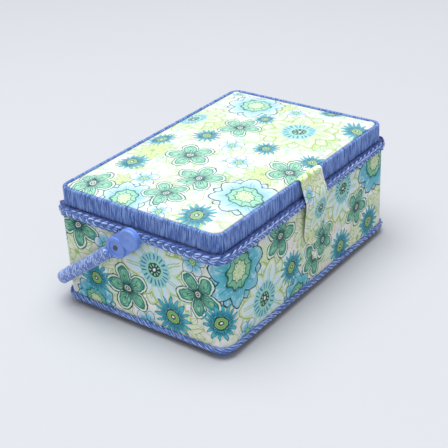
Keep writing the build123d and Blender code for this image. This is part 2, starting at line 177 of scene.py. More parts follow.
def distances(*columns):
    """How far along a line each of its points is, from the columns of its coordinates."""
    return np.concatenate([[0], np.cumsum(np.hypot(*[np.diff(c) for c in columns]))])


def squared_off(values, power):
    """A sine or cosine pushed towards -1 and 1, which squares a section off."""
    return np.sign(values) * np.abs(values) ** power


def end_faces(ring, total):
    """The first and last rings of a tube as faces that close it."""
    return [list(range(ring)), list(range(total - 1, total - 1 - ring, -1))]


def tube(centres, side, up, radii_side, radii_up, around):
    """Rings of points round a line of centres, with half-widths along two directions."""
    angle = full_turn(around)
    across = np.cos(angle)[None, :, None] * side[:, None, :] * radii_side[..., None]
    rise = np.sin(angle)[None, :, None] * up[:, None, :] * radii_up[..., None]
    return centres[:, None, :] + across + rise


def smooth_curve(corners, count):
    """Points evenly spaced on a Catmull-Rom curve through some corners."""
    p = np.asarray(corners, float)
    p = np.vstack([2 * p[0] - p[1], p, 2 * p[-1] - p[-2]])
    t = np.linspace(0, 1, 24, endpoint=False)[:, None]
    spans = []
    for a, b, c, d in zip(p, p[1:], p[2:], p[3:]):
        bend = 2 * b + (c - a) * t + (2 * a - 5 * b + 4 * c - d) * t**2
        spans.append((bend + (3 * b - a - 3 * c + d) * t**3) / 2)
    fine = np.vstack([*spans, p[-2:-1]])
    steps = np.concatenate([[0], np.cumsum(np.linalg.norm(np.diff(fine, axis=0), axis=1))])
    at = np.linspace(0, steps[-1], count)
    return np.stack([np.interp(at, steps, column) for column in fine.T], -1), at


def ripple(along, length, seed, waves=(5, 9, 14, 23)):
    """A gentle wave from -1 to 1 that closes on itself over a length."""
    phases = np.random.default_rng(seed).uniform(0, math.tau, len(waves))
    total = sum(np.sin(math.tau * n * along / length + p) for n, p in zip(waves, phases))
    return total / len(waves)


# ---- shader helpers ----
def srgb(red, green, blue):
    """A display colour from 0 to 255 as a linear one."""
    values = [c / 255 for c in (red, green, blue)]
    return [c / 12.92 if c <= 0.04045 else ((c + 0.055) / 1.055) ** 2.4 for c in values] + [1.0]


def add_node(tree, kind, inputs, **settings):
    """Adds a node. Each input takes a socket, a Num or a plain value."""
    node = tree.nodes.new("ShaderNode" + kind)
    for name, value in settings.items():
        setattr(node, name, value)
    for key, value in inputs.items():
        value = getattr(value, "socket", value)
        if isinstance(value, bpy.types.NodeSocket):
            tree.links.new(value, node.inputs[key])
        else:
            node.inputs[key].default_value = value
    return node


class Num:
    """A number in a shader tree. Each operation on it adds a Math node."""

    def __init__(self, tree, socket):
        self.tree = tree
        self.socket = socket

    def math(self, operation, *others):
        inputs = dict(enumerate((self, *others)))
        node = add_node(self.tree, "Math", inputs, operation=operation)
        return Num(self.tree, node.outputs[0])

    __add__ = partialmethod(math, "ADD")
    __sub__ = partialmethod(math, "SUBTRACT")
    __mul__ = partialmethod(math, "MULTIPLY")
    __truediv__ = partialmethod(math, "DIVIDE")
    __pow__ = partialmethod(math, "POWER")
    __abs__ = partialmethod(math, "ABSOLUTE")
    less = partialmethod(math, "MINIMUM")
    more = partialmethod(math, "MAXIMUM")

    def flipped(self):
        return self * -1.0 + 1.0

    def step(self, low, high):
        """0 below low and 1 above high, with a smooth rise between."""
        inputs = {"Value": self, "From Min": low, "From Max": high}
        node = add_node(self.tree, "MapRange", inputs, interpolation_type="SMOOTHSTEP")
        return Num(self.tree, node.outputs["Result"])

    def line(self, width):
        """1 where this is near zero."""
        return abs(self).step(width * 0.5, width).flipped()


def paint(under, colour, cover):
    """A colour laid over another where cover is 1."""
    node = add_node(cover.tree, "Mix", {0: cover, 6: under, 7: colour}, data_type="RGBA")
    return node.outputs[2]


def noise(tree, vector, scale, detail=2.0):
    inputs = {"Vector": vector, "Scale": scale, "Detail": detail}
    return Num(tree, add_node(tree, "TexNoise", inputs).outputs["Fac"])


def vector_math(tree, operation, *values):
    node = add_node(tree, "VectorMath", dict(enumerate(values)), operation=operation)
    return node.outputs["Value" if operation == "DISTANCE" else "Vector"]


def pick_vector(tree, before, after, chance):
    """One vector where chance is 0 and another where it is 1."""
    inputs = {0: chance, 4: before, 5: after}
    return add_node(tree, "Mix", inputs, data_type="VECTOR").outputs[1]


def split(tree, vector):
    node = add_node(tree, "SeparateXYZ", {0: vector})
    return [Num(tree, output) for output in node.outputs]


def scaled(tree, vector, factors):
    return vector_math(tree, "MULTIPLY", vector, factors)


def new_material(name, roughness, sheen=0.0, specular=0.5):
    """A material, its tree, its shader and its UV in millimetres."""
    material = bpy.data.materials.new(name)
    material.use_nodes = True
    tree = material.node_tree
    shader = tree.nodes["Principled BSDF"]
    shader.inputs["Roughness"].default_value = roughness
    shader.inputs["Sheen Weight"].default_value = sheen
    shader.inputs["Specular IOR Level"].default_value = specular
    uv = add_node(tree, "UVMap", {}, uv_map="UVMap")
    place = scaled(tree, uv.outputs[0], (1 / MM, 1 / MM, 0))
    return material, tree, shader, place


def object_place(tree):
    """The place in millimetres on a piece with no UVs. A piece's own coordinates move with it."""
    node = add_node(tree, "TexCoord", {})
    return scaled(tree, node.outputs["Object"], (1 / MM, 1 / MM, 1 / MM))


def bump(tree, shader, height, distance, strength):
    inputs = {"Strength": strength, "Distance": distance * MM, "Height": height}
    node = add_node(tree, "Bump", inputs)
    tree.links.new(node.outputs[0], shader.inputs["Normal"])


def coloured(tree, shader, colour):
    tree.links.new(colour, shader.inputs["Base Color"])


def weave(tree, place, pitch):
    """Height of a plain weave, from 0 to 1."""
    x, y, _ = split(tree, place)
    turn = math.pi / pitch
    return abs((x * turn).math("SINE") * (y * turn).math("SINE"))


# ---- the printed cotton's flowers ----
INK = srgb(24, 58, 66)
DEEP_GREEN = srgb(26, 98, 84)
GREEN = srgb(72, 156, 122)
MINT = srgb(150, 210, 178)
PALE_MINT = srgb(214, 236, 216)
TEAL = srgb(8, 124, 146)
AQUA = srgb(84, 180, 198)
SKY = srgb(124, 192, 214)
PALE_SKY = srgb(206, 228, 238)
LIME = srgb(150, 188, 104)
PALE_LIME = srgb(206, 224, 180)
YELLOW = srgb(204, 216, 146)
CREAM = srgb(226, 220, 212)
# the pale blue of the painted glare on the lid's print
GLARE_TINT = srgb(184, 208, 220)
WHITE = srgb(238, 237, 236)


def sector(radius, angle, count, shift=0.0):
    """Coordinates along and across the nearest of some petals, for a flower of radius 1."""
    share = (angle * (count / (math.tau)) + shift).math("FRACT")
    swing = (share - 0.5) * (math.tau / count)
    return radius * swing.math("COSINE"), radius * swing.math("SINE")


def petal(place, middle, half_length, half_width, taper=0.0):
    """Below 1 inside a petal, 1 on its outline. A taper narrows its tip."""
    along, across = place
    u = (along - middle) / half_length
    v = across / half_width
    if taper:
        v = v / (u * -taper + 1.0).more(0.25)
    return (u * u + v * v) ** 0.5


def rim(distance, width):
    return (distance - 1.0).line(width)


def inside(distance, blur=0.03):
    return distance.step(1.0 - blur, 1.0 + blur).flipped()


def spokes(radius, angle, count, share):
    """Thin dashes from the middle outwards."""
    across = sector(radius, angle, count)[1]
    return (across / (radius + 0.001)).line(share * math.pi / count)


class Cloth:
    """The colour of a cloth that more colours are laid on."""

    def __init__(self, colour):
        self.colour = colour

    def lay(self, colour, cover):
        self.colour = paint(self.colour, colour, cover)
        return self.colour


def sky_flower(under, radius, angle, mottle):
    cloth = Cloth(under)
    for shift, middle, reach, width in ((0.5, 0.52, 0.42, 0.24), (0.0, 0.58, 0.41, 0.31)):
        place = sector(radius, angle, 7, shift)
        shape = petal(place, middle, reach, width, 0.25)
        wash = (radius.step(0.95, 0.45) * 0.75 + mottle.step(0.4, 0.7) * 0.6).less(1.0)
        fill = paint(PALE_SKY, SKY, wash)
        fill = paint(fill, AQUA, wash * mottle.step(0.48, 0.62) * 0.8)
        fill = paint(fill, TEAL, radius.step(0.62, 0.45) * mottle.step(0.5, 0.7) * 0.6)
        vein = place[1].line(0.018) * radius.step(0.85, 0.7)
        side_vein = (abs(place[1]) - 0.09).line(0.014) * radius.step(0.74, 0.6) * 0.6
        fill = paint(fill, TEAL, (vein + side_vein).less(1.0) * 0.55)
        cloth.lay(fill, inside(shape))
        cloth.lay(INK, rim(shape, 0.075))
    scallop = (angle * 9.0).math("COSINE") * 0.035 + 0.47
    edge = radius / scallop
    tone = (mottle.step(0.4, 0.7) * 0.5 + edge.step(0.85, 1.0) * 0.4).less(1.0)
    cloth.lay(paint(MINT, GREEN, tone), inside(edge))
    cloth.lay(DEEP_GREEN, rim(edge, 0.07))
    cloth.lay(DEEP_GREEN, spokes(radius, angle + 0.35, 9, 0.12) * inside(edge) * 0.8)
    heart = (angle * 9.0).math("COSINE") * 0.02 + 0.27
    heart_edge = radius / heart
    seeds = spokes(radius, angle, 14, 0.35) * (radius * 40.0).math("SINE").step(-0.2, 0.4)
    middle = paint(PALE_LIME, GREEN, seeds * 0.8)
    cloth.lay(middle, inside(heart_edge))
    return cloth.lay(DEEP_GREEN, rim(heart_edge, 0.08))


def clover(under, radius, angle, mottle):
    place = sector(radius, angle, 5)
    outer = petal(place, 0.57, 0.42, 0.33)
    inner = petal(place, 0.52, 0.34, 0.24)
    cloth = Cloth(under)
    cloth.lay(PALE_MINT, inside(outer) * 0.9)
    tone = (inner.step(0.55, 1.0) * 0.6 + mottle.step(0.42, 0.68) * 0.5).less(1.0)
    fill = paint(MINT, GREEN, tone)
    fill = paint(fill, TEAL, mottle.step(0.52, 0.68) * inner.step(0.5, 0.9) * 0.6)
    cloth.lay(fill, inside(inner))
    cloth.lay(DEEP_GREEN, rim(inner, 0.10) * 0.9)
    ring = petal(place, 0.60, 0.15, 0.10)
    cloth.lay(DEEP_GREEN, rim(ring, 0.18) * 0.75)
    vein = abs(place[1]).line(0.024) * radius.step(0.60, 0.45)
    side_vein = (abs(place[1]) - place[0] * 0.22).line(0.02) * radius.step(0.52, 0.42)
    cloth.lay(DEEP_GREEN, (vein + side_vein).less(1.0) * inside(inner))
    cloth.lay(INK, rim(outer, 0.075))
    stamen = sector(radius, angle, 5, 0.5)
    tip = petal(stamen, 0.30, 0.14, 0.035)
    cloth.lay(INK, rim(tip, 0.45) * 0.7)
    cloth.lay(CREAM, radius.step(0.13, 0.15).flipped())
    rings = (radius - 0.14).line(0.03) + (radius - 0.06).line(0.03)
    return cloth.lay(DEEP_GREEN, rings.less(1.0))


def aster(under, radius, angle, mottle):
    cloth = Cloth(under)
    for shift, reach, width in ((0.5, 0.26, 0.075), (0.0, 0.36, 0.12)):
        place = sector(radius, angle, 8, shift)
        shape = petal(place, 0.95 - reach, reach, width, 0.3)
        wash = (radius.step(0.45, 0.85) * 0.8 + mottle.step(0.4, 0.7) * 0.4).less(1.0)
        fill = paint(TEAL, AQUA, wash)
        cloth.lay(fill, inside(shape, 0.08))
        cloth.lay(TEAL, rim(shape, 0.2) * 0.9)
        vein = abs(place[1]).line(0.03) * radius.step(0.75, 0.5)
        cloth.lay(INK, vein * inside(shape) * 0.6)
    cloth.lay(LIME, radius.step(0.32, 0.34).flipped())
    cloth.lay(INK, (radius - 0.33).line(0.04))
    cloth.lay(GREEN, (radius - 0.22).line(0.05) * 0.6)
    cloth.lay(INK, radius.step(0.12, 0.14).flipped())
    return cloth.lay(WHITE, radius.step(0.05, 0.07).flipped())


def sun_flower(under, radius, angle, mottle):
    cloth = Cloth(under)
    for shift in (0.5, 0.0):
        place = sector(radius, angle, 7, shift)
        shape = petal(place, 0.62, 0.38, 0.26, 0.4)
        wash = paint(PALE_LIME, PALE_SKY, mottle.step(0.38, 0.58))
        wash = paint(wash, WHITE, radius.step(0.6, 0.9) * 0.6)
        cloth.lay(wash, inside(shape))
        cloth.lay(YELLOW, (shape - 0.84).line(0.12) * 0.7)
        cloth.lay(LIME, rim(shape, 0.10))
        crease = (abs(place[1]) - 0.03).line(0.018) * inside(shape) * radius.step(0.9, 0.75)
        cloth.lay(LIME, crease * 0.8)
    fringe = (angle * 20.0).math("COSINE") * 0.018 + 0.44
    cloth.lay(srgb(150, 206, 208), inside(radius / fringe))
    dash = spokes(radius, angle, 20, 0.42) * radius.step(0.24, 0.27) * radius.step(0.42, 0.38)
    cloth.lay(srgb(30, 116, 146), dash)
    cloth.lay(MINT, radius.step(0.21, 0.23).flipped())
    cloth.lay(INK, radius.step(0.17, 0.19).flipped())
    beads = (radius - 0.12).line(0.045) * spokes(radius, angle, 9, 0.55)
    cloth.lay(MINT, beads)
    return cloth.lay(WHITE, radius.step(0.03, 0.05).flipped())


def small_flower(under, radius, angle, mottle):
    place = sector(radius, angle, 5)
    shape = petal(place, 0.60, 0.39, 0.35)
    wash = (radius.step(0.85, 0.35) * 0.8 + mottle.step(0.4, 0.7) * 0.4).less(1.0)
    fill = paint(WHITE, SKY, wash)
    cloth = Cloth(under)
    cloth.lay(fill, inside(shape))
    vein = abs(place[1]).line(0.03) * radius.step(0.6, 0.5) * radius.step(0.2, 0.25)
    cloth.lay(TEAL, vein * 0.7)
    cloth.lay(srgb(50, 104, 124), rim(shape, 0.09))
    cloth.lay(YELLOW, radius.step(0.22, 0.25).flipped())
    rings = (radius - 0.23).line(0.05) + (radius - 0.1).line(0.04)
    return cloth.lay(GREEN, rings.less(1.0))


def lime_star(under, radius, angle, mottle):
    cloth = Cloth(under)
    for shift, tone in ((0.5, PALE_LIME), (0.0, YELLOW)):
        place = sector(radius, angle, 6, shift)
        shape = petal(place, 0.52, 0.47, 0.19, 0.5)
        wash = paint(tone, WHITE, mottle.step(0.4, 0.7) * 0.7)
        cloth.lay(wash, inside(shape, 0.06) * 0.85)
        cloth.lay(LIME, rim(shape, 0.14) * 0.9)
        cloth.lay(LIME, abs(place[1]).line(0.022) * inside(shape) * 0.8)
    return cloth.colour


def drawing_group(draw):
    """A node group that draws one kind of flower over a ground. It is made once."""
    made = bpy.data.node_groups.get(draw.__name__)
    if made:
        return made
    tree = bpy.data.node_groups.new(draw.__name__, "ShaderNodeTree")
    tree.interface.new_socket("Ground", in_out="INPUT", socket_type="NodeSocketColor")
    for name in ("Radius", "Angle", "Mottle"):
        tree.interface.new_socket(name, in_out="INPUT", socket_type="NodeSocketFloat")
    tree.interface.new_socket("Colour", in_out="OUTPUT", socket_type="NodeSocketColor")
    given = tree.nodes.new("NodeGroupInput").outputs
    numbers = [Num(tree, given[name]) for name in ("Radius", "Angle", "Mottle")]
    colour = draw(given["Ground"], *numbers)
    tree.links.new(colour, tree.nodes.new("NodeGroupOutput").inputs[0])
    return tree


NOWHERE = (9000.0, 9000.0, 1.0)  # a flower too far off to show


def flower_layer(tree, under, drawn, mottle, draw, flowers):
    """Lays flowers of one kind over a ground. Where two overlap, the later one is on top."""
    chosen = NOWHERE
    for x, y, size in flowers:
        away = Num(tree, vector_math(tree, "DISTANCE", drawn, (x, y, 0)))
        chosen = pick_vector(tree, chosen, (x, y, size), away.math("LESS_THAN", size))
    turn = add_node(tree, "TexWhiteNoise", {"Vector": chosen})
    x, y, _ = split(tree, vector_math(tree, "SUBTRACT", drawn, chosen))
    size = split(tree, chosen)[2]
    radius = ((x * x + y * y) ** 0.5) / size
    angle = y.math("ARCTAN2", x) + Num(tree, turn.outputs["Value"]) * (math.tau)
    inputs = dict(enumerate((under, radius, angle, mottle)))
    return add_node(tree, "Group", inputs, node_tree=drawing_group(draw)).outputs[0]


def printed_cotton(name, flowers, fade, start=0.0, period=0.0):
    """Cotton printed with flowers, each with its place and its radius. With a period, the print
    repeats along its length from a start. A larger fade makes it paler with painted glare and
    softens the mottle in the flowers' washes; below zero it strengthens that mottle instead."""
    material, tree, shader, place = new_material(name, 0.82, sheen=0.15, specular=0.2)
    # a hand-drawn line wanders a little
    wander = add_node(tree, "TexNoise", {"Vector": place, "Scale": 0.11, "Detail": 3.0})
    offset = vector_math(tree, "SUBTRACT", wander.outputs["Color"], (0.5, 0.5, 0.5))
    drawn = vector_math(tree, "ADD", place, scaled(tree, offset, (5.0, 5.0, 0)))
    shifts = [0]
    if period:
        x, y, _ = split(tree, drawn)
        wrapped = x.math("WRAP", start + period, start)
        drawn = add_node(tree, "CombineXYZ", {0: wrapped, 1: y}).outputs[0]
        shifts = [-period, 0, period]
    mottle = noise(tree, place, 0.16, 4.0)
    # ground: cream with pale lime and sky washes, and thin lime leaf lines
    ground = paint(WHITE, CREAM, noise(tree, place, 0.03).step(0.35, 0.6))
    ground = paint(ground, PALE_LIME, noise(tree, place, 0.055).step(0.46, 0.62) * 0.8)
    sky = noise(tree, scaled(tree, place, (1, -1, 0)), 0.06).step(0.52, 0.66)
    ground = paint(ground, PALE_SKY, sky * 0.8)
    inputs = {"Vector": drawn, "Scale": 0.07}
    leaves = add_node(tree, "TexVoronoi", inputs, feature="DISTANCE_TO_EDGE")
    edge = Num(tree, leaves.outputs["Distance"])
    patches = noise(tree, place, 0.04).step(0.36, 0.5)
    ground = paint(ground, LIME, edge.step(0.015, 0.045).flipped() * patches * 0.8)
    ground = paint(ground, GREEN, (edge - 0.10).line(0.014) * mottle.step(0.42, 0.55) * 0.7)
    # a positive fade softens the mottle, as part of the painted glare; a negative one strengthens it
    soft = mottle * (1.0 - fade)
    for draw in (lime_star, sun_flower, sky_flower, clover, small_flower, aster):
        placed = [
            (x + shift, y, size)
            for x, y, size in flowers.get(draw, [])
            for shift in shifts
            if not shift or start - size < x + shift < start + period + size
        ]
        if placed:
            ground = flower_layer(tree, ground, drawn, soft, draw, placed)
    # painted glare: the print paled towards a pale blue where the mottle is high, in step with the fade
    ground = paint(ground, GLARE_TINT, mottle.step(0.2, 0.7) * fade)
    grain = noise(tree, place, 1.3, 3.0)
    ground = paint(ground, srgb(190, 196, 190), grain.step(0.5, 0.8) * 0.10)
    coloured(tree, shader, ground)
    bump(tree, shader, weave(tree, place, 0.45) + grain * 0.6, 0.06, 0.6)
    return material


# Each flower is its place and its radius. On the lid: x and y from the middle of the panel.
LID_FLOWERS = {
    lime_star: [
        (-40, 62, 24), (62, -66, 22), (-108, 40, 18), (40, 50, 20), (-30, -62, 20),
        (112, 12, 20),
    ],
    sun_flower: [(68, -38, 40), (46, 78, 34)],
    sky_flower: [(-72, -72, 33), (103, 38, 32), (-128, 22, 26)],
    clover: [
        (-122, 65, 24), (-31, 22, 25), (-66, -16, 25), (-105, -8, 23), (47, 19, 23),
        (-9, -78, 24),
    ],
    small_flower: [
        (-92, 28, 15), (7, 0, 13), (-20, -28, 14), (107, -10, 13), (-131, -20, 12),
        (123, 74, 13),
    ],
    aster: [
        (-70, 62, 17), (-12, 73, 16), (14, 36, 15), (-122, -56, 18), (18, -33, 14),
        (21, -84, 14), (104, -84, 17), (130, -38, 14), (77, 9, 12),
    ],
}
# On the walls: distance round from the front left corner, right positive, and height.
WALL_FLOWERS = {
    lime_star: [
        (40, 60, 26), (128, 76, 22), (172, 84, 18), (225, 18, 20), (-168, 62, 26),
        (-118, 62, 20), (-40, 20, 22), (206, 62, 18), (270, 52, 20),
    ],
    sun_flower: [(-72, 72, 40), (58, 34, 40), (196, 86, 34)],
    sky_flower: [(22, 82, 36), (258, 90, 34), (-150, 14, 26), (112, 10, 24)],
    clover: [
        (-107, 41, 27), (-24, 62, 25), (-162, 92, 26), (86, 86, 25), (142, 36, 22),
        (158, 48, 20), (222, 54, 22),
    ],
    small_flower: [(-130, 80, 14), (-28, 94, 15), (-86, 10, 15), (30, 14, 14)],
    aster: [
        (-55, 28, 22), (-146, 40, 19), (-2, 38, 20), (103, 44, 18), (191, 24, 19),
        (247, 26, 19),
    ],
}
# On the strap: x from its middle, and distance from under the lid's cover.
STRAP_FLOWERS = {
    lime_star: [(-4, 6, 18), (-12, 70, 14)],
    sun_flower: [(6, 44, 24)],
    small_flower: [(-12, 24, 10)],
    clover: [(12, 74, 14)],
}


# ---- other materials ----
def cord_material(name, colours, along, across, streak, offset=0.0, girth=0.0, dive=0.0):
    """Yarns laid side by side, in a dark, a middle and a light colour: the light one is painted
    highlight on the yarns' crests and the dark one painted shade in the grooves. along and across
    are how many there are to a millimetre, and streak is how fine the changes of tone are in the
    same two directions; these are dashes of painted sheen mixed with each yarn's own tone. A strand
    is dark with painted shade where it turns away round its girth, and at each dive."""
    dark, middle, light = [srgb(*colour) for colour in colours]
    material, tree, shader, place = new_material(name, 0.5, sheen=0.25, specular=0.4)
    x, y, _ = split(tree, place)
    count = x * along + y * across + offset
    crest = abs(count.math("FRACT") * 2.0 - 1.0).flipped()
    yarn = add_node(tree, "TexWhiteNoise", {"W": count.math("FLOOR")}, noise_dimensions="1D")
    drawn = vector_math(tree, "ADD", scaled(tree, place, (*streak, 0)), yarn.outputs["Color"])
    # dashes of painted sheen along the yarns
    sheen = noise(tree, drawn, 1.0, 3.0)
    # the painted sheen mixed with each yarn's own random tone
    tone = sheen.step(0.40, 0.60) * 0.75 + Num(tree, yarn.outputs["Value"]) * 0.25
    # painted highlight: the light colour on the crests where the tone is high
    colour = paint(middle, light, (tone * crest.step(0.1, 0.7)).step(0.3, 0.8))
    # painted shade: the dark colour in the grooves between yarns and in the dark dashes of the tone
    shade = (crest.step(0.5, 0.0) + tone.step(0.35, 0.1) * 0.7).less(1.0)
    colour = paint(colour, dark, shade * 0.85)
    if girth:
        # painted shade where the strand turns away round its girth
        turned = (y * (math.tau / girth)).math("COSINE").step(0.45, -0.2)
        colour = paint(colour, dark, turned * 0.9)
    if dive:
        # painted shade where the strand dives under the others
        under = (x * (math.tau / dive)).math("SINE").step(0.1, -0.9)
        colour = paint(colour, dark, under * 0.85)
    coloured(tree, shader, colour)
    fibre = noise(tree, scaled(tree, place, (3.0, 3.0, 0)), 1.0)
    bump(tree, shader, crest * 0.8 + fibre * 0.3, 0.25, 0.8)
    return material


def trim_cord(name, middle, light, radius, dive=0.0):
    """The cord of a trim whose strands have a radius. Its dark colour is painted shade and its light colour
    painted highlight.
    """
    girth = math.tau * radius
    # the first colour is painted shade
    colours = ((34, 60, 130), middle, light)
    along, across = YARNS / YARN_TURN, YARNS / girth
    return cord_material(name, colours, along, across, (0.14, 0.6), 0.5, girth, dive)


def satin_material():
    material, tree, shader, place = new_material("satin", 0.34, sheen=0.3, specular=0.45)
    shader.inputs["Anisotropic"].default_value = 0.4
    tone = noise(tree, scaled(tree, place, (0.05, 0.012, 0)), 1.0, 3.0)
    coloured(tree, shader, paint(srgb(172, 200, 226), srgb(206, 224, 240), tone.step(0.3, 0.7)))
    threads = noise(tree, scaled(tree, place, (0.3, 4.0, 0)), 1.0)
    bump(tree, shader, threads, 0.03, 0.5)
    return material


def felt_material():
    material, tree, shader, place = new_material("underside_felt", 0.95, sheen=0.2, specular=0.1)
    tone = noise(tree, place, 0.9, 4.0)
    coloured(tree, shader, paint(srgb(40, 52, 84), srgb(66, 80, 120), tone))
    bump(tree, shader, tone, 0.15, 0.8)
    return material


def cad_material(name, dark, light, roughness, metallic=0.0, grain=0.6, depth=0.02, coat=0.0):
    """A finish between two colours for pieces that keep their CAD shape, varied by their own
    coordinates."""
    material, tree, shader, _ = new_material(name, roughness, specular=0.5)
    place = object_place(tree)
    tone = noise(tree, place, 0.12, 4.0).step(0.3, 0.7)
    coloured(tree, shader, paint(srgb(*dark), srgb(*light), tone))
    shader.inputs["Metallic"].default_value = metallic
    shader.inputs["Coat Weight"].default_value = coat
    fine = noise(tree, place, grain, 3.0)
    rough = fine * 0.16 + (roughness - 0.08)
    tree.links.new(rough.socket, shader.inputs["Roughness"])
    bump(tree, shader, fine, depth, 0.5)
    return material


CORD_PITCH = 1.2
BAND_CORDS = round(lid_track.length / CORD_PITCH)
HANDLE_PITCH, HANDLE_STARTS, HANDLE_GIRTH = 2.7, 9, 35.0
UPPER_STRAND, LOWER_STRAND = 2.1, 1.6
YARN_TURN, YARNS = 26.0, 4
PLAITS, TWISTS = 38, 40
WALL_START, WALL_REPEAT = -185.2, base_track.length / 2

# The lid's print is paled with painted glare; the walls' and the strap's negative fade leave out the glare and
# strengthen the mottle.
COTTON_LID = printed_cotton("printed_cotton_lid", LID_FLOWERS, 0.26)
COTTON_WALL = printed_cotton(
    "printed_cotton_wall", WALL_FLOWERS, -0.3, WALL_START, WALL_REPEAT
)
COTTON_STRAP = printed_cotton("printed_cotton_strap", STRAP_FLOWERS, -0.1)
# Each cord's colours are its painted shade, its own middle colour and its painted highlight.
BAND_CORD = cord_material(
    "band_cord",
    ((34, 66, 140), (76, 118, 200), (156, 192, 246)),
    BAND_CORDS / lid_track.length,
    0.0,
    (1.5, 0.09),
)
UPPER_CORD = trim_cord(
    "upper_trim_cord",
    (96, 136, 212),
    (186, 208, 248),
    UPPER_STRAND,
    base_track.length / PLAITS / 2,
)
LOWER_CORD = trim_cord("lower_trim_cord", (86, 126, 202), (164, 190, 240), LOWER_STRAND)
HANDLE_CORD = cord_material(
    "handle_cord",
    ((70, 98, 168), (116, 146, 214), (188, 208, 248)),
    1 / HANDLE_PITCH,
    HANDLE_STARTS / HANDLE_GIRTH,
    (0.4, 0.2),
)
SATIN = satin_material()
FELT = felt_material()
BLUE_PLASTIC = cad_material(
    "blue_plastic", (100, 136, 214), (112, 148, 226), 0.36, depth=0.006, coat=0.2
)
TRAY_PLASTIC = cad_material(
    "tray_plastic", (206, 216, 226), (220, 228, 236), 0.28, depth=0.008, coat=0.4
)
STEEL = cad_material("plated_steel", (150, 150, 152), (200, 200, 202), 0.3, 1.0, 2.0)
DARK_STEEL = cad_material("dark_rivet", (70, 66, 60), (120, 116, 108), 0.4, 1.0, 2.0)
FIBREBOARD = cad_material(
    "fibreboard", (150, 120, 86), (182, 150, 112), 0.85, grain=1.5, depth=0.08
)


def dress(piece, material, body, slot_name, *nodes):
    """Gives a piece its material and its body, and hides the CAD nodes it stands for. Its slot_name is not used.
    """
    piece.data.materials.clear()
    piece.data.materials.append(material)
    if body:
        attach(piece, body)
    if nodes:
        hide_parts(*nodes)
    return piece


# ---- base cover ----
def base_cover():
    # from the bottom edge up, over the wall's top edge and in to the lining
    low = cover_low[2]
    profile = [(-1.2, low + 0.1), (-0.4, low + 0.25), (0.0, low + 1.0)]
    profile += [(0.0, z) for z in np.linspace(low + 3, BASE_TOP - 1.2, 30)]
    profile += [(-0.25, BASE_TOP - 0.4), (-0.9, BASE_TOP - 0.04)]
    profile += [(-2.5, BASE_TOP), (-6.0, BASE_TOP)]
    offset, height = np.array(profile).T
    along = np.linspace(0, base_track.length, 420, endpoint=False)
    swell = np.clip(np.sin(math.pi * (height - 12) / 84), 0, None)
    soft = 0.25 + 0.25 * ripple(along, base_track.length, 3, (4, 7, 13))[:, None]
    waver = 0.12 * ripple(along, base_track.length, 9, (31, 44, 67))[:, None]
    outward = offset[None, :] + swell[None, :] * (soft + waver)
    points = base_track.points(along[:, None], outward, height[None, :])
    step = distances(offset, height)
    around = np.append(along, base_track.length) - base_track.front_left
    piece = grid_object("printed_base_cover", points, around, low + step, wrap_along=True)
    dress(piece, COTTON_WALL, "base", "printed_cotton", "base_cover")


# ---- lid cover ----
cover_top_low, cover_top_high = node_box("lid_cover")


def rounded_grid(half, corner, counts):
    """x and y of a grid whose outline is a rounded rectangle, and how far in each point is."""
    lines = [np.linspace(-h, h, count) for h, count in zip(half, counts)]
    x, y = np.meshgrid(*lines, indexing="ij")
    dx = np.clip(np.abs(x) - (half[0] - corner), 0, None)
    dy = np.clip(np.abs(y) - (half[1] - corner), 0, None)
    squeeze = np.maximum(dx, dy) / np.maximum(np.hypot(dx, dy), 1e-9)
    both = (dx > 0) & (dy > 0)
    x = np.where(both, np.sign(x) * (half[0] - corner + dx * squeeze), x)
    y = np.where(both, np.sign(y) * (half[1] - corner + dy * squeeze), y)
    qx, qy = np.abs(x) - (half[0] - corner), np.abs(y) - (half[1] - corner)
    outside = np.hypot(np.maximum(qx, 0), np.maximum(qy, 0))
    return x, y, corner - outside - np.minimum(np.maximum(qx, qy), 0)


def lid_cover():
    half, middle = halves(cover_top_low, cover_top_high)
    half = half - 0.1
    corner = 7.5
    x, y, depth = rounded_grid(half, corner, [int(h) + 1 for h in half])
    rise = 1 - np.clip(1 - depth / 8.0, 0, 1) ** 2.4
    crown = (1 - (x / half[0]) ** 2) * (1 - (y / half[1]) ** 2)
    base = BAND_TOP - 0.9
    height = base + (cover_top_high[2] - base - 1.4) * (0.82 * rise + 0.18 * crown)
    piece = pad_object("padded_lid_cover", x, y, height, middle)
    puff(piece, np.append(np.flatnonzero(depth.ravel() < 1.0), x.size), cover_top_high[2])
    dress(piece, COTTON_LID, "lid", "printed_cotton", "lid_cover", "lid_foam")


def pad_object(name, x, y, height, middle, face_down=False):
    """A closed pad: a grid for its crowned side and a flat back, which fans out from one point."""
    points = np.stack([x + middle[0], y + middle[1], height], -1)
    grid, _ = grid_arrays(points, np.zeros(x.shape[0]), np.zeros(x.shape[1]), flip=face_down)
    index = np.arange(x.size).reshape(x.shape)
    edge = np.concatenate([index[0, :-1], index[:-1, -1], index[-1, :0:-1], index[:0:-1, 0]])
    if face_down:
        edge = edge[::-1]
    fan = np.stack([edge, np.roll(edge, -1), np.full(len(edge), x.size)], -1)
    back = [*middle, height[0, 0]]
    flat = np.append(np.stack([x.ravel(), y.ravel()], -1), [[0, 0]], 0)
    uvs = np.concatenate([flat[grid].reshape(-1, 2), flat[fan].reshape(-1, 2)])
    points = np.vstack([points.reshape(-1, 3), back])
    return mesh_object(name, points, grid.tolist() + fan.tolist(), uvs)


PUFF_FRAMES = 20
PUFF_LIMIT = 1.5  # how far a point may move
PUFF_ROOM = 0.4  # how far the pad may stand above its CAD solid


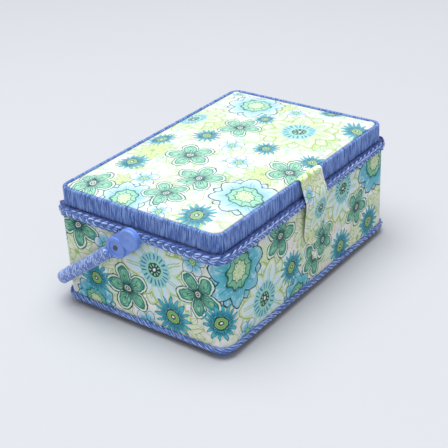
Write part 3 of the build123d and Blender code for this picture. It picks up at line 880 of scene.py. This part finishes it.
def puff(piece, pinned, ceiling):
    """Swells a pad by cloth simulation, held at its edge and back, under a ceiling."""
    start = np.zeros(len(piece.data.vertices) * 3)
    piece.data.vertices.foreach_get("co", start)
    start = start.reshape(-1, 3) / MM
    group = piece.vertex_groups.new(name="held")
    group.add(pinned.tolist(), 1.0, "REPLACE")
    modifier = piece.modifiers.new("Cloth", "CLOTH")
    settings = modifier.settings
    settings.vertex_group_mass = "held"
    settings.quality = 6
    settings.mass = 0.15
    settings.tension_stiffness = 8
    settings.compression_stiffness = 4
    settings.bending_stiffness = 0.2
    settings.use_pressure = True
    settings.uniform_pressure_force = 3.0
    settings.effector_weights.gravity = 0
    scene = bpy.context.scene
    for step in range(1, PUFF_FRAMES + 1):
        scene.frame_set(step)
    shape = piece.evaluated_get(bpy.context.evaluated_depsgraph_get()).to_mesh()
    moved = np.zeros(len(shape.vertices) * 3)
    shape.vertices.foreach_get("co", moved)
    piece.modifiers.remove(modifier)
    scene.frame_set(1)
    change = np.clip(moved.reshape(-1, 3) / MM - start, -PUFF_LIMIT, PUFF_LIMIT)
    final = start + change
    final[:, 2] = np.minimum(final[:, 2], ceiling + PUFF_ROOM)
    piece.data.vertices.foreach_set("co", (final * MM).ravel())
    piece.data.update()


# ---- wound band round the lid ----
SAMPLES_PER_CORD = 6
CORD_GROOVE = 0.5  # how deep the grooves between the cords are


def lid_band():
    low, top = BAND_LOW, BAND_TOP
    # under the frame, out, up the side and over the top edge into the lid cover's seam
    profile = [(-4.6, low), (-2.4, low), (-0.9, low + 0.1), (-0.25, low + 0.6), (0.0, low + 1.6)]
    profile += [(0.0, z) for z in np.linspace(low + 4, top - 2.6, 6)]
    profile += [(0.0, top - 1.2), (-0.2, top - 0.2), (-0.8, top + 0.45), (-1.7, top + 0.7)]
    profile += [(-2.6, top + 0.5), (-3.3, top - 0.2), (-3.6, top - 1.0)]
    offset, height = np.array(profile).T
    direction = unit(np.gradient(np.stack([offset, height], -1), axis=0))
    out, up = direction[:, 1], -direction[:, 0]
    count = BAND_CORDS * SAMPLES_PER_CORD
    along = np.arange(count) * lid_track.length / count
    phase = (np.arange(count) % SAMPLES_PER_CORD) / SAMPLES_PER_CORD
    roundness = np.sqrt(1 - (2 * phase - 1) ** 2)
    loft = np.repeat(rng.uniform(-0.12, 0.06, BAND_CORDS), SAMPLES_PER_CORD)
    lean = 0.05 + 0.07 * ripple(along, lid_track.length, 5, (3, 8, 17, 29))
    push = (-CORD_GROOVE * (1 - roundness) + loft)[:, None]
    shifted = along[:, None] + lean[:, None] * (height[None, :] - 115)
    rise = height[None, :] + push * up[None, :]
    points = lid_track.points(shifted, offset[None, :] + push * out[None, :], rise)
    step = distances(offset, height)
    around = np.append(along, lid_track.length)
    piece = grid_object("wound_lid_band", points, around, step, wrap_along=True)
    dress(piece, BAND_CORD, "lid", "band_cord", "lid_band")


# ---- plaited and twisted trims ----
def trim_strand(periods, share, centre_offset, centre_height, sway, radii, figure_eight):
    """One strand of a trim, as a ridged tube that weaves round the base. sway and radii are
    upright first, then outwards."""
    count = periods * 24
    along = np.arange(count) * base_track.length / count
    theta = math.tau * (periods * along / base_track.length + share)
    if figure_eight:
        rise, depth = sway[0] * np.sin(theta), sway[1] * np.sin(2 * theta)
    else:
        rise, depth = sway[0] * np.cos(theta), sway[1] * np.sin(theta)
    loose = 0.12 * ripple(along, base_track.length, int(share * 90) + periods, (17, 41, 73))
    centres = base_track.points(along, centre_offset + depth, centre_height + rise + loose)
    ahead = unit(np.roll(centres, -1, 0) - np.roll(centres, 1, 0))
    outward = base_track.points(along, 1.0, 0.0) - base_track.points(along, 0.0, 0.0)
    up = unit(np.cross(outward, ahead))
    side = np.cross(ahead, up)
    around = 14
    twist = full_turn(around)[None, :] + along[:, None] * math.tau / YARN_TURN
    groove = np.abs(np.cos(YARNS / 2 * twist))
    plump = 0.78 + 0.22 * groove
    points = tube(centres, side, up, radii[1] * plump, radii[0] * plump, around)
    us = np.append(along, base_track.length) + share * base_track.length / periods
    vs = np.linspace(0, math.tau * radii[0], around + 1)
    return points, us, vs, {"wrap_along": True, "wrap_across": True}


def trims():
    upper_low, upper_high = node_box("upper_trim")
    lower_low, lower_high = node_box("lower_trim")
    middle = (upper_low[2] + upper_high[2]) / 2 + 1.4
    sway, radii = (2.8, 1.1), (UPPER_STRAND, 1.15)
    strands = [
        trim_strand(PLAITS, k / 3, 1.5, middle, sway, radii, True) for k in range(3)
    ]
    # a dark strip folded over the wall's edge under the plait: painted shade for the shadowed ledge
    # between the wall's top and the lid. Its UVs sit where the cord's painted shade round the girth is darkest.
    shade_strip_profile = [(0.7, 96.4), (0.9, 98), (0.9, 103), (0.5, 104.9), (-0.6, 105.3), (-3.6, 105.2)]
    offset, height = np.array(shade_strip_profile).T
    along = np.arange(400) * base_track.length / 400
    shade_strip = base_track.points(along[:, None], offset[None, :], height[None, :])
    around = np.append(along, base_track.length)
    strands.append((shade_strip, around, np.full(6, math.pi * UPPER_STRAND), {"wrap_along": True}))
    piece = joined_grids("upper_plait", strands)
    dress(piece, UPPER_CORD, "base", "trim_cord", "upper_trim")
    middle = (lower_low[2] + lower_high[2]) / 2
    sway, radii = (1.7, 1.2), (LOWER_STRAND, 1.35)
    strands = [
        trim_strand(TWISTS, k / 3, 1.1, middle, sway, radii, False) for k in range(3)
    ]
    piece = joined_grids("lower_rope", strands)
    dress(piece, LOWER_CORD, "base", "trim_cord", "lower_trim")


# ---- handle wrap ----
LOFTS = 400  # how many heights the cords round the handle take in turn


def handle_wrap():
    pivot = np.array(joint_place("handle_swing")) / MM
    high = node_box("handle_wrap")[1]
    reach, drop, bend = 127.0, math.radians(36.5), 20.0
    half_width, half_depth, start = 6.3, 4.4, 31.6
    arm_x = high[0] - half_depth
    # the bail lies in a plane through the pivots: arms out from them, then the crossbar
    leg, bar = reach - bend, arm_x - bend
    arc = bend * math.pi / 2
    lengths = np.cumsum([0, leg - start, arc, 2 * bar, arc, leg - start])
    count = int(lengths[-1] / 0.5)
    s = np.linspace(0, lengths[-1], count)
    heading = np.interp(s, lengths, np.radians([90, 90, 0, 0, -90, -90]))
    ahead = np.stack([np.cos(heading), np.sin(heading)], -1)
    steps = (ahead[1:] + ahead[:-1]) / 2 * np.diff(s)[:, None]
    flat = np.concatenate([[[0, 0]], np.cumsum(steps, 0)])
    flat[:, 0] -= (flat[0, 0] + flat[-1, 0]) / 2
    flat[:, 1] += start
    away = np.array([0, math.cos(drop), -math.sin(drop)])
    across = np.array([1.0, 0, 0])
    normal = np.cross(across, away)
    centres = pivot + flat[:, :1] * across + flat[:, 1:] * away
    side = -ahead[:, 1:] * across + ahead[:, :1] * away
    up = np.tile(normal, (count, 1))
    around = 44
    turn = full_turn(around)
    strand = s[:, None] / HANDLE_PITCH + HANDLE_STARTS * turn[None, :] / math.tau
    phase = np.mod(strand, 1)
    loft = rng.uniform(-0.1, 0.06, LOFTS)[np.floor(strand).astype(int) % LOFTS]
    ridge = -0.55 * (1 - np.sqrt(1 - (2 * phase - 1) ** 2)) + loft
    to_end = np.minimum(s, s[-1] - s)[:, None]
    shut = np.clip(to_end / 1.5, 0.02, 1) ** 0.5
    depth, width = (half_depth + ridge) * shut, (half_width + ridge) * shut
    points = tube(centres, side, up, depth, width, around)
    vs = np.linspace(0, HANDLE_GIRTH, around + 1)
    piece = grid_object("wrapped_handle_cord", points, s, vs, wrap_across=True)
    dress(piece, HANDLE_CORD, "handle", "handle_cord", "handle_wrap")


# ---- strap ----
def strap():
    low, high = node_box("strap")
    half = (high[0] - low[0]) / 2
    tip = low[2]
    front = CENTRE_Y - 95.5  # the base's front face
    # middle line of the tab in the YZ plane, from under the lid's cover down the front
    over = [(6.8, -0.5), (5.0, 0.9), (2.4, 1.7), (0.5, 0.6), (-0.1, -1.6), (-1.0, -6.0)]
    down = [(-3.2, 110.0), (-5.3, 103.5), (-5.5, 97.0), (-4.4, 86.0), (-3.3, 76.0)]
    down += [(-2.4, 66.0), (-1.9, tip)]
    corners = [(front + y, BAND_TOP + z) for y, z in over]
    corners += [(front + y, z) for y, z in down]
    line, at = smooth_curve(corners, 160)
    length = at[-1]
    end_start = length - half
    straight = at[at < end_start]
    swing = np.linspace(0, math.pi / 2 - 0.12, 26)
    stations = np.concatenate([straight, end_start + half * np.sin(swing)])
    widths = np.concatenate([np.full(len(straight), half), half * np.cos(swing)])
    y, z = np.interp(stations, at, line[:, 0]), np.interp(stations, at, line[:, 1])
    centres = np.stack([np.zeros_like(y), y, z], -1)
    ahead = unit(np.gradient(centres, axis=0))
    across = np.tile([1.0, 0, 0], (len(y), 1))
    out = np.cross(ahead, across)
    # flat section with turned edges, a stitched row near them and a little puff between
    turn = full_turn(56)
    cy = squared_off(np.sin(turn), 0.7)
    x = widths[:, None] * squared_off(np.cos(turn), 0.55)[None, :]
    from_edge = widths[:, None] - np.abs(x)
    to_tip = np.clip(length - stations, 0, None)[:, None] + 0 * x
    stitch_inset, stitch_width, stitch_depth = 2.6, 0.5, 0.35
    stitch = np.minimum(from_edge, to_tip) - stitch_inset
    stitch = np.exp(-((stitch / stitch_width) ** 2))
    thickness = 1.15 + 0.12 * np.sin(stations * 0.31)[:, None] - stitch_depth * stitch
    points = centres[:, None, :] + x[..., None] * across[:, None, :]
    points = points + (thickness * cy[None, :])[..., None] * out[:, None, :]
    faces, _ = grid_arrays(points, np.zeros(len(y)), np.zeros(57), wrap_across=True)
    flat = np.stack([x, stations[:, None] + 0 * x], -1).reshape(-1, 2)
    ends = end_faces(len(turn), len(flat))
    uvs = np.concatenate([flat[faces].reshape(-1, 2), flat[ends[0]], flat[ends[1]]])
    piece = mesh_object("closing_strap", points.reshape(-1, 3), faces.tolist() + ends, uvs)
    dress(piece, COTTON_STRAP, None, "printed_cotton", "strap", "strap_root")
    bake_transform(piece)


# ---- linings, pad, pocket and underside ----
def satin_base_lining():
    """Satin on the inside of the walls, with soft upright gathers. It faces inwards."""
    low, high = node_box("base_lining")
    thick, amplitude, folds = 1.0, 0.25, 37
    track = Track(low, high, 8.5)
    along = np.linspace(0, track.length, 560, endpoint=False)
    height = np.linspace(low[2] + 3.0, high[2] - 0.1, 24)
    gather = ripple(along, track.length, folds, (folds, folds + 11, 2 * folds + 5))
    fade = np.sin(np.linspace(0, math.pi, len(height))) ** 0.5
    offset = -thick - amplitude * (0.5 + 0.5 * gather[:, None]) * fade[None, :]
    points = track.points(along[:, None], offset, height[None, :])
    us = np.append(along, track.length)
    piece = grid_object("satin_base_lining", points, us, height, wrap_along=True, flip=True)
    dress(piece, SATIN, "base", "satin_lining", "base_lining")


QUILT_CELL = 26.0


def quilted_panel(name, low, high, corner, thickness, face_down, body, *nodes):
    """A satin pad sewn through in diamonds. It faces up, or down from the ceiling of the lid."""
    half, middle = halves(low, high)
    x, y, depth = rounded_grid(half, corner, [int(2 * h / 2.4) for h in half])
    seam_a = np.abs(np.sin(math.pi * (x + y) / QUILT_CELL))
    seam_b = np.abs(np.sin(math.pi * (x - y) / QUILT_CELL))
    puffed = (seam_a * seam_b) ** 0.4
    edge = np.clip(depth / 2.0, 0, 1) ** 0.5
    level = thickness * edge * (0.45 + 0.55 * puffed)
    height = high[2] - level if face_down else low[2] + level
    piece = pad_object(name, x, y, height, middle, face_down)
    dress(piece, SATIN, body, "satin_lining", *nodes)


def pocket():
    low, high = node_box("lid_pocket")
    elastic_low, elastic_high = node_box("pocket_elastic")
    x = np.linspace(low[0], high[0], 420)
    y = np.linspace(low[1], high[1], 36)
    share = (y - low[1]) / (high[1] - low[1])
    gathers = np.sin(x * 0.95 + 1.3 * np.sin(x * 0.11)) * 0.5 + 0.5
    tight = np.exp(-share * 5)
    belly = np.clip(np.sin(math.pi * np.clip(share * 0.9 + 0.1, 0, 1)), 0, 1)
    edge = np.clip((high[0] - np.abs(x)) / 5, 0, 1) ** 0.5
    level = edge[:, None] * (0.5 + 1.9 * belly[None, :] * (0.75 + 0.25 * gathers[:, None]))
    level = level * (1 - 0.25 * tight[None, :] * gathers[:, None])
    points = np.stack([*np.meshgrid(x, y, indexing="ij"), high[2] - level], -1)
    piece = grid_object("gathered_pocket", points, x, y, flip=True)
    dress(piece, SATIN, "lid", "satin_lining", "lid_pocket")
    # the ruffle: a half tube over the elastic, drawn up along it
    turn = np.linspace(0, math.pi, 12)
    middle_y = (elastic_low[1] + elastic_high[1]) / 2
    half_y = (elastic_high[1] - elastic_low[1]) / 2
    pucker = 0.78 + 0.22 * np.sin(x * 2.1 + np.sin(x * 0.4))
    frill = 0.6 * np.sin(x * 2.1)
    ys = middle_y + (half_y * pucker)[:, None] * np.cos(turn)[None, :]
    ys = ys + frill[:, None] * np.sin(turn)[None, :]
    zs = high[2] - 3.2 * pucker[:, None] * np.sin(turn)[None, :]
    points = np.stack([x[:, None] + 0 * ys, ys, zs], -1)
    piece = grid_object("pocket_ruffle", points, x, turn * half_y)
    dress(piece, SATIN, "lid", "elastic", "pocket_elastic")


def ledges():
    for name in ("front_tray_ledge", "back_tray_ledge"):
        low, high = node_box(name)
        turn = full_turn(28)
        half = (high - low) / 2
        middle = (high + low) / 2
        x = np.linspace(low[0], high[0], 160)
        corner = 0.35
        cy = squared_off(np.cos(turn), corner)
        cz = squared_off(np.sin(turn), corner)
        slack = 1 - 0.04 * (0.5 + 0.5 * np.sin(x * 0.35 + np.sin(x * 0.07)))
        y = middle[1] + (half[1] * slack)[:, None] * cy[None, :]
        z = middle[2] + (half[2] * slack)[:, None] * cz[None, :]
        points = np.stack([x[:, None] + 0 * y, y, z], -1)
        faces, uvs = grid_arrays(points, x, np.linspace(0, 26, 29), wrap_across=True)
        n = len(turn)
        ends = end_faces(n, len(x) * n)
        uvs = np.concatenate([uvs, np.zeros((2 * n, 2))])
        piece = mesh_object(f"satin_{name}", points.reshape(-1, 3), faces.tolist() + ends, uvs)
        dress(piece, SATIN, "base", "satin_lining", name)


def underside():
    low, high = node_box("underside_cloth")
    half, middle = halves(low, high)
    corner = 12.5
    x, y, _ = rounded_grid(half, corner, (72, 48))
    height = low[2] + 0.15 + 0.1 * np.sin(x * 0.09) * np.sin(y * 0.12)
    points = np.stack([x + middle[0], y + middle[1], height], -1)
    faces, _ = grid_arrays(points, np.zeros(x.shape[0]), np.zeros(x.shape[1]), flip=True)
    flat = np.stack([x.ravel(), y.ravel()], -1)
    uvs = flat[faces].reshape(-1, 2)
    piece = mesh_object("underside_felt", points.reshape(-1, 3), faces.tolist(), uvs)
    dress(piece, FELT, "base", "underside_cloth", "underside_cloth")


# ---- CAD pieces that keep their shape ----
SLOT_MATERIALS = {
    "blue_plastic": BLUE_PLASTIC,
    "tray_plastic": TRAY_PLASTIC,
    "plated_steel": STEEL,
    "dark_rivet": DARK_STEEL,
    "fibreboard": FIBREBOARD,
    "lid_foam": FIBREBOARD,
    "satin_lining": SATIN,
}


def finish_cad_pieces():
    slots = {s["node"]: s["material_slot"] for s in frame["record"]["subparts"]}
    for node, piece in frame["nodes"].items():
        material = SLOT_MATERIALS.get(slots[node])
        if material and not piece.hide_render:
            piece.data.materials.clear()
            piece.data.materials.append(material)


# ---- studio ----
CAMERA_AZIMUTH, CAMERA_ELEVATION, CAMERA_ROLL = -52.18, 28.60, -3.10
CAMERA_DISTANCE = 974.5
CAMERA_TARGET = (-62.1, -38.7, 85.2)  # from under the middle of the base
LENS = 84.63
AREA_LIGHTS = (  # name, place and size in metres, and watts
    ("overhead", (-0.1, 0.2, 2.6), 2.4, 88.0),
    ("front_left", (-1.5, -1.6, 1.1), 1.4, 3.5),
)


def studio():
    scene = bpy.context.scene
    scene.view_settings.view_transform = "Standard"
    a, e = math.radians(CAMERA_AZIMUTH), math.radians(CAMERA_ELEVATION)
    back = Vector((math.sin(a) * math.cos(e), -math.cos(a) * math.cos(e), math.sin(e)))
    target = Vector(CAMERA_TARGET) * MM + Vector((0, CENTRE_Y * MM, 0))
    camera = bpy.data.objects.new("camera", bpy.data.cameras.new("camera"))
    scene.collection.objects.link(camera)
    camera.data.lens = LENS
    camera.data.clip_start = 0.01
    camera.location = target + back * CAMERA_DISTANCE * MM
    camera.rotation_mode = "QUATERNION"
    level = (-back).to_track_quat("-Z", "Y")
    camera.rotation_quaternion = level @ Quaternion((0, 0, 1), math.radians(CAMERA_ROLL))
    scene.camera = camera

    reach = 6000
    corners = [(-reach, -reach), (reach, -reach), (reach, reach), (-reach, reach)]
    floor = mesh_object("floor", [(x, y, 0) for x, y in corners], [[0, 1, 2, 3]], corners)
    material, tree, shader, place = new_material("floor", 0.9, specular=0.1)
    tone = noise(tree, place, 0.002, 1.0)
    coloured(tree, shader, paint(srgb(191, 193, 198), srgb(194, 196, 201), tone))
    floor.data.materials.append(material)

    world = bpy.data.worlds.new("world")
    scene.world = world
    world.use_nodes = True
    background = world.node_tree.nodes["Background"]
    background.inputs["Color"].default_value = (0.965, 0.98, 1.0, 1)
    background.inputs["Strength"].default_value = 0.50
    for name, place, size, energy in AREA_LIGHTS:
        light = bpy.data.objects.new(name, bpy.data.lights.new(name, "AREA"))
        light.data.size = size
        light.data.energy = energy
        light.location = place
        light.rotation_mode = "QUATERNION"
        towards = Vector((0, 0, 0.06)) - Vector(place)
        light.rotation_quaternion = towards.to_track_quat("-Z", "Y")
        scene.collection.objects.link(light)


# ---- build ----
base_cover()
lid_cover()
lid_band()
trims()
handle_wrap()
strap()
satin_base_lining()
pad_low, pad_high = node_box("floor_pad")
quilted_panel("quilted_floor_pad", pad_low, pad_high, 7.3, 3.0, False, "base", "floor_pad")
ceiling_low, ceiling_high = node_box("lid_lining")
inset = np.array([1.0, 1.0, 0])
ceiling_low, ceiling_high = ceiling_low + inset, ceiling_high - inset
quilted_panel("quilted_lid_lining", ceiling_low, ceiling_high, 5.2, 1.2, True, "lid")
pocket()
ledges()
underside()
finish_cad_pieces()
studio()
